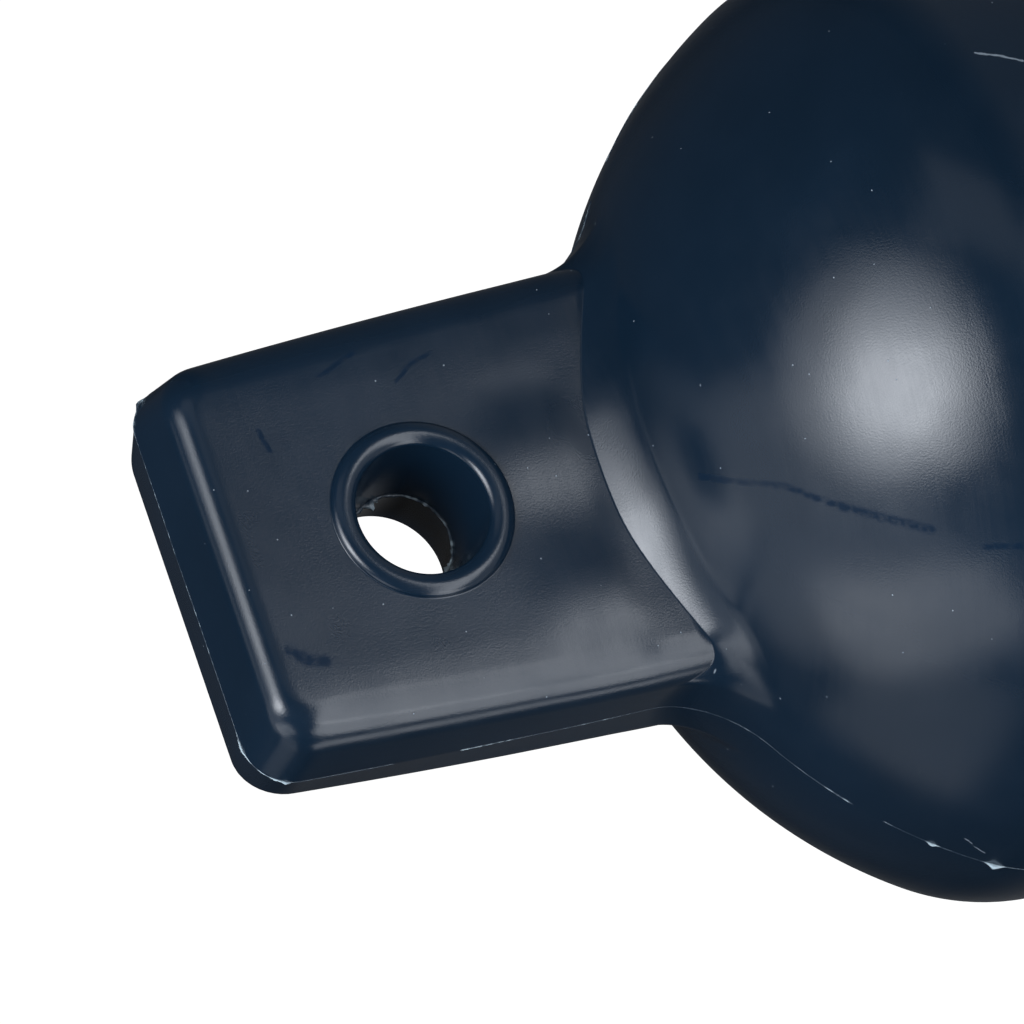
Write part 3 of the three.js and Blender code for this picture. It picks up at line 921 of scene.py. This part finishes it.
def vinyl():
    """Glossy soft vinyl: faint tone changes, mould grain, turning lines, dust and rubbed marks."""
    material, tree, shader = new_material("navy_vinyl")
    place = place_on_object(tree)
    shaken = shaken_place(tree, place)
    worn = remapped(tree, noise(tree, place, WORN_SCALE, detail=3), WORN_NOISE, WORN_STRENGTH)
    dull = computed(tree, "MULTIPLY", streaks(tree, shaken, DULL_MARKS), worn)
    scratched = computed(tree, "MULTIPLY", streaks(tree, shaken, SCRATCHES), SCRATCH_STRENGTH)
    dust = dust_specks(tree, place)
    light_marks = computed(tree, "MAXIMUM", dust, scratched)

    tone = remapped(tree, noise(tree, place, TONE_SCALE, detail=3), NOISE_MIDDLE, RISING)
    colour = tinted(tree, tone, VINYL_DEEP, VINYL_PALE)
    colour = tinted(tree, dull, colour, RUBBED_COLOUR)
    colour = tinted(tree, light_marks, colour, DUST_COLOUR)
    tree.links.new(colour, shader.inputs["Base Color"])

    turning = noise(tree, place, 1, stretch=TURNING_STRETCH)
    lines = remapped(tree, turning, TURNING_NOISE, TURNING_HAZE)
    haze = remapped(tree, noise(tree, place, HAZE_SCALE, detail=4), HAZE_NOISE, HAZE)
    rough = computed(tree, "MAXIMUM", computed(tree, "ADD", haze, lines), light_marks)
    tree.links.new(rough, shader.inputs["Roughness"])
    gloss = remapped(tree, dull, RISING, GLOSS_WHERE_RUBBED)
    tree.links.new(gloss, shader.inputs["Specular IOR Level"])
    shader.inputs["IOR"].default_value = VINYL_IOR

    normal = bumped(tree, noise(tree, place, SWELL_SCALE, detail=1), SWELL_HEIGHT)
    normal = bumped(tree, turning, TURNING_HEIGHT, normal)
    normal = bumped(tree, noise(tree, place, GRAIN_SCALE), GRAIN_HEIGHT, normal)
    normal = bumped(tree, dust, DUST_HEIGHT, normal)
    tree.links.new(normal, shader.inputs["Normal"])
    return material


# Where the flash is torn white, on the seam and in the upper eye.
TORN_BITS = [
    ([(-0.0280, 0, 0.0392), (-0.0308, 0, 0.0382)], 0.0012),
    ([(-0.0352, 0, 0.0350), (-0.0368, 0, 0.0336)], 0.0012),
    ([(-0.0727, 0, -0.0728), (-0.0730, 0, -0.0731)], 0.0012),
    ([(-0.0787, 0, -0.0816), (-0.0797, 0, -0.0828)], 0.0016),
    ([(0.0073, 0, 0.0014), (0.0064, 0, 0.0036)], 0.0014),
    ([(-0.0058, 0, -0.0062), (-0.0050, 0, -0.0070)], 0.0012),
]

FLASH_COLOUR = (0.012, 0.026, 0.046)
TORN_COLOUR = (0.42, 0.52, 0.58)
PATCH_SCALE = 60
PATCH_NOISE = (0.42, 0.60)
PATCH_STRENGTH = (0.10, 1)
TORN_SCALE = 700
TORN_NOISE = (0.42, 0.66)
TORN_STRENGTH = (0.05, 0.85)
FLASH_ROUGH_SCALE = 2500
FLASH_ROUGHNESS = (0.25, 0.5)
FLASH_GRAIN_SCALE = 4000

RUBBER_DARK = (0.010, 0.010, 0.011)
RUBBER_DUSTY = (0.020, 0.020, 0.021)
RUBBER_TONE_SCALE = 900
RUBBER_TONE_NOISE = (0.35, 0.7)
RUBBER_ROUGH_SCALE = 2200
RUBBER_ROUGHNESS = (0.5, 0.7)
RUBBER_GRAIN_SCALE = 5000
FINE_GRAIN_HEIGHT = 0.00003


def roughened(tree, shader, place, rough_scale, roughness, grain_scale):
    """Gives a shader an uneven roughness and a fine grain."""
    rough = remapped(tree, noise(tree, place, rough_scale), NOISE_MIDDLE, roughness)
    tree.links.new(rough, shader.inputs["Roughness"])
    grain = bumped(tree, noise(tree, place, grain_scale), FINE_GRAIN_HEIGHT)
    tree.links.new(grain, shader.inputs["Normal"])


def torn_vinyl():
    """The thin flash, paler where it is stretched and torn."""
    material, tree, shader = new_material("torn_vinyl")
    place = place_on_object(tree)
    patches = remapped(tree, noise(tree, place, PATCH_SCALE), PATCH_NOISE, PATCH_STRENGTH)
    pale = remapped(tree, noise(tree, place, TORN_SCALE, detail=3), TORN_NOISE, TORN_STRENGTH)
    torn = streaks(tree, place, TORN_BITS)
    pale = computed(tree, "MAXIMUM", computed(tree, "MULTIPLY", pale, patches), torn)
    tree.links.new(tinted(tree, pale, FLASH_COLOUR, TORN_COLOUR), shader.inputs["Base Color"])
    roughened(tree, shader, place, FLASH_ROUGH_SCALE, FLASH_ROUGHNESS, FLASH_GRAIN_SCALE)
    return material


def rubber():
    """Matt black moulded rubber with a fine grain and a little dust."""
    material, tree, shader = new_material("black_rubber")
    place = place_on_object(tree)
    tone = noise(tree, place, RUBBER_TONE_SCALE, detail=3)
    tone = remapped(tree, tone, RUBBER_TONE_NOISE, RISING)
    tree.links.new(tinted(tree, tone, RUBBER_DARK, RUBBER_DUSTY), shader.inputs["Base Color"])
    roughened(tree, shader, place, RUBBER_ROUGH_SCALE, RUBBER_ROUGHNESS, RUBBER_GRAIN_SCALE)
    return material


# Lights, floor and background

LAMP_LEVEL = 1.27
LAMP_COLOUR = (0.90, 0.94, 1.0)

# Each lamp's name, the right, up and back shares of the way to it, its distance, its width and
# height, its radiance and its shape.
LAMPS = [
    ("umbrella_core", (-0.65, 0.02, 0.76), 1.18, (0.46, 0.46), 4.6, "ELLIPSE"),
    ("umbrella_right", (-0.46, -0.03, 0.88), 1.19, (0.40, 0.64), 2.8, "ELLIPSE"),
    ("umbrella_middle", (-0.655, 0.05, 0.755), 1.2, (0.70, 0.82), 2.8, "ELLIPSE"),
    ("umbrella", (-0.70, 0.08, 0.71), 1.22, (1.06, 1.08), 1.3, "ELLIPSE"),
    ("side_fill", (-0.82, -0.40, 0.41), 1.35, (1.4, 1.3), 0.6, "RECTANGLE"),
    ("low_band", (-0.48, -0.745, 0.46), 1.3, (1.05, 0.5), 1.4, "RECTANGLE"),
    ("under_fill", (-0.38, -0.92, 0.05), 1.35, (0.9, 0.6), 0.4, "RECTANGLE"),
    ("under_tab", (0.42, -0.90, 0.03), 1.3, (0.30, 0.5), 1.8, "RECTANGLE"),
    ("top_panel", (-0.20, 0.70, 0.68), 1.3, (0.8, 0.5), 0.3, "RECTANGLE"),
    ("face_panel", (0.38, 0.60, 0.70), 1.25, (0.8, 0.36), 0.25, "RECTANGLE"),
    ("strip_right", (0.64, 0.11, 0.76), 1.2, (0.38, 1.52), 3.2, "RECTANGLE"),
    ("low_right", (0.60, -0.60, 0.53), 1.15, (0.50, 0.55), 2.9, "RECTANGLE"),
]

WHITE = (1, 1, 1, 1)
WORLD_LIGHT = 0.035
FLOOR_HEIGHT = -0.75
FLOOR_SIZE = 20
FLOOR_COLOUR = (0.5, 0.5, 0.5, 1)
FLOOR_ROUGHNESS = 0.9

# How far from the fender's top the floor turns white, and its glow there and nearer.
FLOOR_WHITENS = (0.8, 1.6)
FLOOR_GLOW = (0.45, 1)


def softbox(name, toward, distance, size, radiance, shape):
    """A flat lamp that faces the photograph's middle and that the camera doesn't see."""
    direction = (RIGHT * toward[0] + UP * toward[1] + BACK * toward[2]).normalized()
    light = bpy.data.lights.new(name, "AREA")
    light.shape = shape
    light.size, light.size_y = size
    lit_area = size[0] * size[1] * (math.pi / 4 if shape == "ELLIPSE" else 1)
    light.energy = LAMP_LEVEL * radiance * math.pi * lit_area
    light.color = LAMP_COLOUR
    lamp = bpy.data.objects.new(name, light)
    bpy.context.collection.objects.link(lamp)
    across = UP.cross(direction).normalized()
    turn = Matrix((across, direction.cross(across), direction)).transposed()
    lamp.matrix_world = Matrix.Translation(VIEW_MIDDLE + direction * distance) @ turn.to_4x4()
    lamp.visible_camera = False


def make_lights():
    for lamp in LAMPS:
        softbox(*lamp)


def seen_by_camera(tree):
    return node(tree, "ShaderNodeLightPath").outputs["Is Camera Ray"]


def make_world():
    """White where the camera sees it and dim for all other rays."""
    world = bpy.data.worlds.new("world")
    bpy.context.scene.world = world
    world.use_nodes = True
    tree = world.node_tree
    background = tree.nodes["Background"]
    background.inputs["Color"].default_value = WHITE
    strength = remapped(tree, seen_by_camera(tree), RISING, (WORLD_LIGHT, 1))
    tree.links.new(strength, background.inputs["Strength"])


def pale_floor():
    """Matt pale ground that the camera sees turn to white further out."""
    material, tree, shader = new_material("pale_floor")
    shader.inputs["Base Color"].default_value = FLOOR_COLOUR
    shader.inputs["Roughness"].default_value = FLOOR_ROUGHNESS
    shader.inputs["Specular IOR Level"].default_value = 0
    shader.inputs["Emission Color"].default_value = WHITE
    position = node(tree, "ShaderNodeNewGeometry").outputs["Position"]
    away = node(tree, "ShaderNodeVectorMath", operation="LENGTH")
    tree.links.new(position, away.inputs[0])
    rise = remapped(tree, away.outputs["Value"], FLOOR_WHITENS, FLOOR_GLOW)
    glow = computed(tree, "MULTIPLY", seen_by_camera(tree), rise)
    tree.links.new(glow, shader.inputs["Emission Strength"])
    return material


def make_floor():
    mesh = bmesh.new()
    bmesh.ops.create_grid(mesh, x_segments=1, y_segments=1, size=FLOOR_SIZE)
    data = bpy.data.meshes.new("floor")
    mesh.to_mesh(data)
    mesh.free()
    data.materials.append(pale_floor())
    floor = bpy.data.objects.new("floor", data)
    floor.location.z = FLOOR_HEIGHT
    bpy.context.collection.objects.link(floor)


make_camera()
grid = skin_grid()
make_fender(grid).data.materials.append(vinyl())
torn = torn_vinyl()
make_seam_flash(grid).data.materials.append(torn)
make_eye_flash("upper_eye_flash", 0, turned=0, seed=10).data.materials.append(torn)
make_eye_flash("lower_eye_flash", -EYE_SPACING, turned=140, seed=20).data.materials.append(torn)
make_valve().data.materials.append(rubber())
make_lights()
make_world()
make_floor()
bpy.context.scene.view_settings.view_transform = "Standard"
